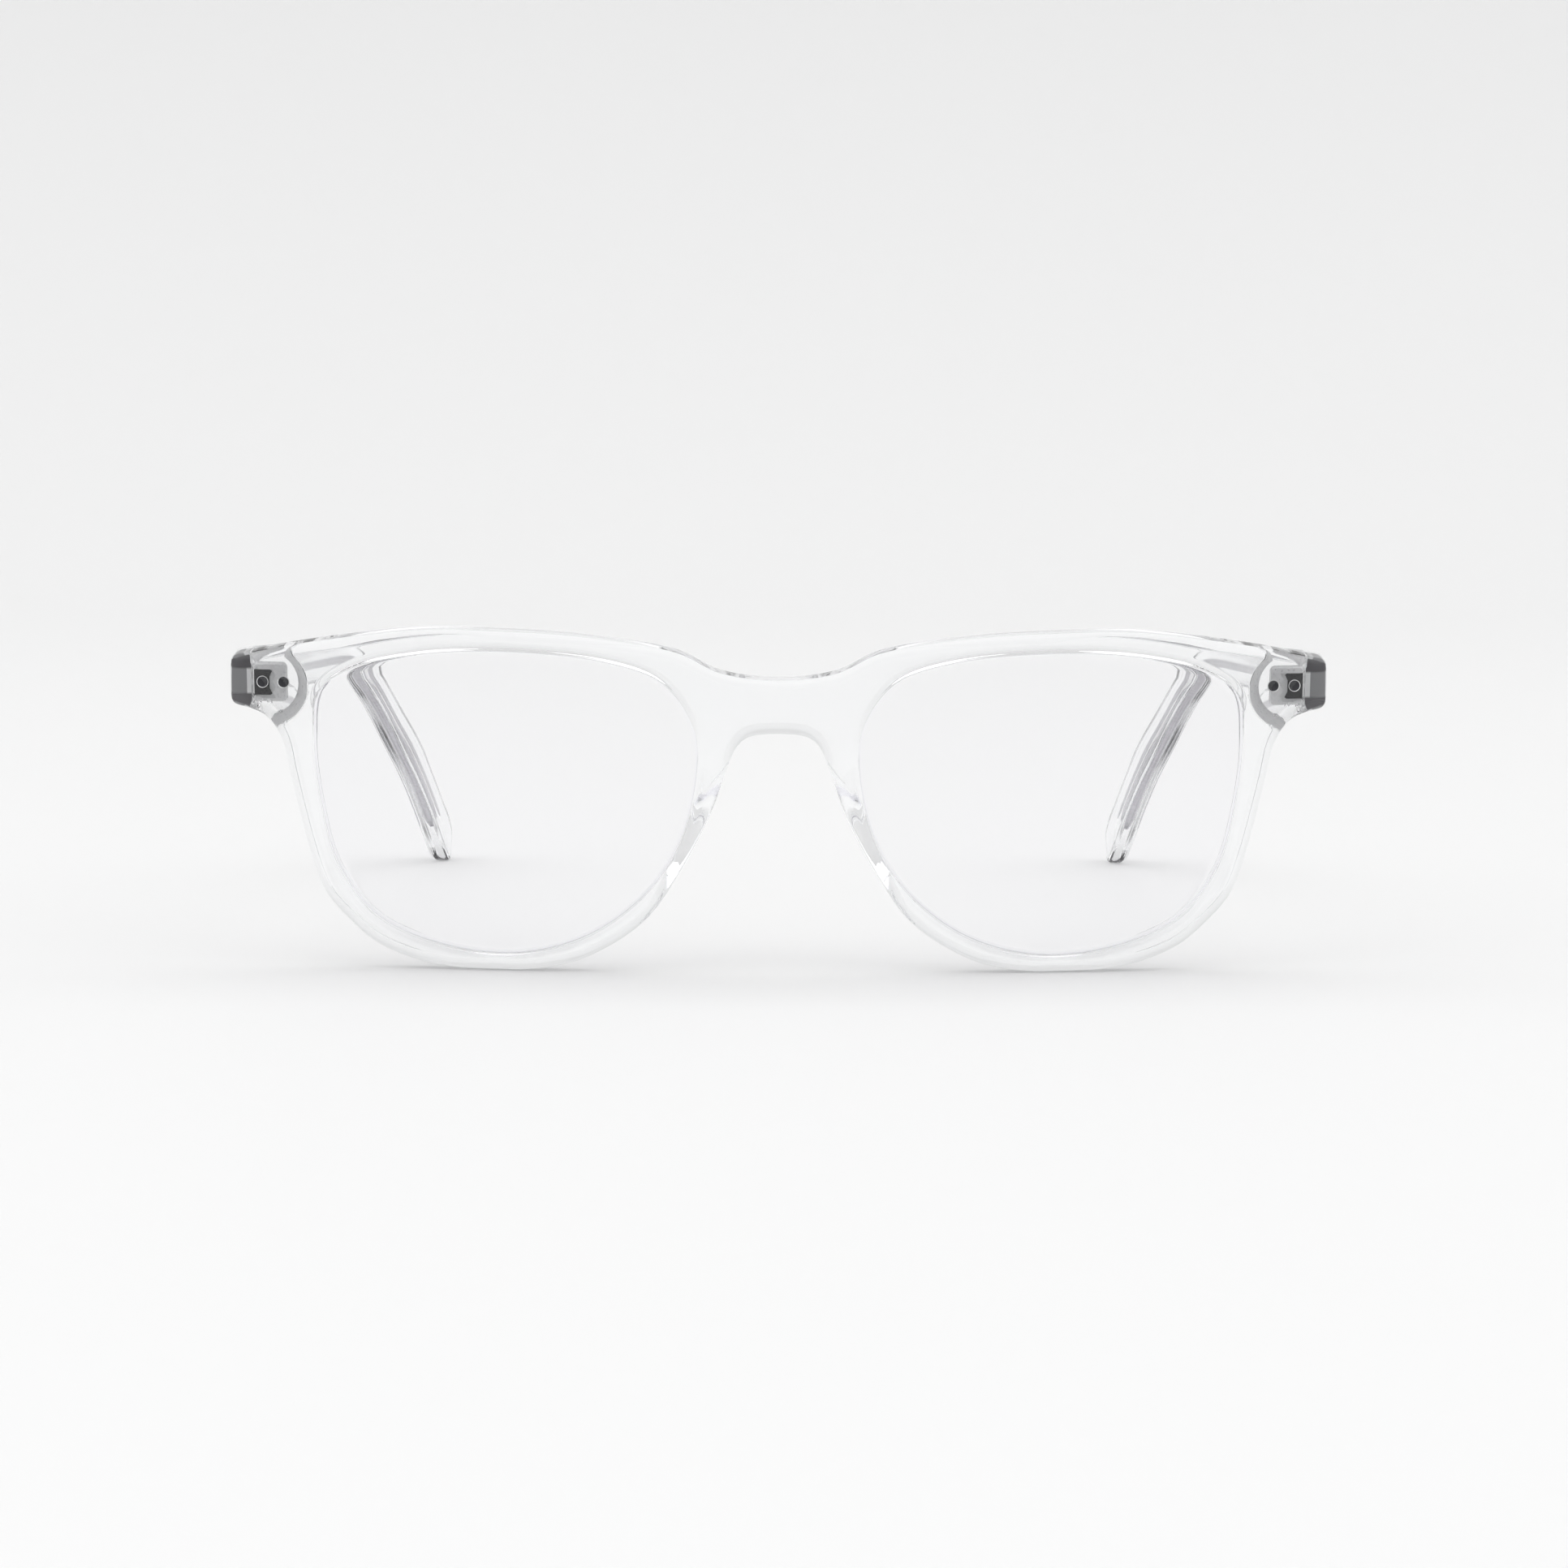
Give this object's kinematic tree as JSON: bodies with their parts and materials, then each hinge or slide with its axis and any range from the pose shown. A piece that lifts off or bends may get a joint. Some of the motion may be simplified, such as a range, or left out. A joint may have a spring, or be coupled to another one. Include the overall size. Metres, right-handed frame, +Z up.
{
  "type": "blue light glasses",
  "caption": "Clear acetate full-rim glasses with coated clear lenses, a saddle bridge, riveted barrel hinges and folding core-wire temples.",
  "frame": {"origin": "on the surface the glasses stand on, under the middle of their box, open", "axes": "+X towards the wearer's left, +Y from the front back to the temple tips, +Z up"},
  "size_m": [0.1406, 0.1424, 0.0444],
  "materials": {
    "acetate": "polished, water clear",
    "lens": "polished, faint violet-blue anti-reflection coating",
    "hinge_steel": "dark satin plated steel",
    "rivet_steel": "dark satin, flush ground",
    "core_wire": "drawn nickel silver wire"
  },
  "bodies": {
    "front": {"front_frame": "acetate", "lens_left": "lens", "nose_pad_left": "acetate", "front_hinge_leaf_left": "hinge_steel", "front_rivet_outer_left": "rivet_steel", "front_rivet_inner_left": "rivet_steel", "lens_right": "lens", "nose_pad_right": "acetate", "front_hinge_leaf_right": "hinge_steel", "front_rivet_outer_right": "rivet_steel", "front_rivet_inner_right": "rivet_steel"},
    "temple_left": {"temple_left": "acetate", "temple_core_wire_left": "core_wire", "temple_hinge_leaf_left": "hinge_steel", "hinge_screw_left": "hinge_steel", "temple_rivet_front_left": "rivet_steel", "temple_rivet_rear_left": "rivet_steel"},
    "temple_right": {"temple_right": "acetate", "temple_core_wire_right": "core_wire", "temple_hinge_leaf_right": "hinge_steel", "hinge_screw_right": "hinge_steel", "temple_rivet_front_right": "rivet_steel", "temple_rivet_rear_right": "rivet_steel"}
  },
  "joints": [
    {"name": "temple_left_fold", "type": "hinge", "parent": "front", "child": "temple_left", "pos_m": [0.06565, -0.05608, 0.03701], "axis": [0, 0, 1], "range_deg": [0, 84]},
    {"name": "temple_right_fold", "type": "hinge", "parent": "front", "child": "temple_right", "pos_m": [-0.06565, -0.05608, 0.03701], "axis": [0, 0, -1], "range_deg": [0, 77]}
  ]
}
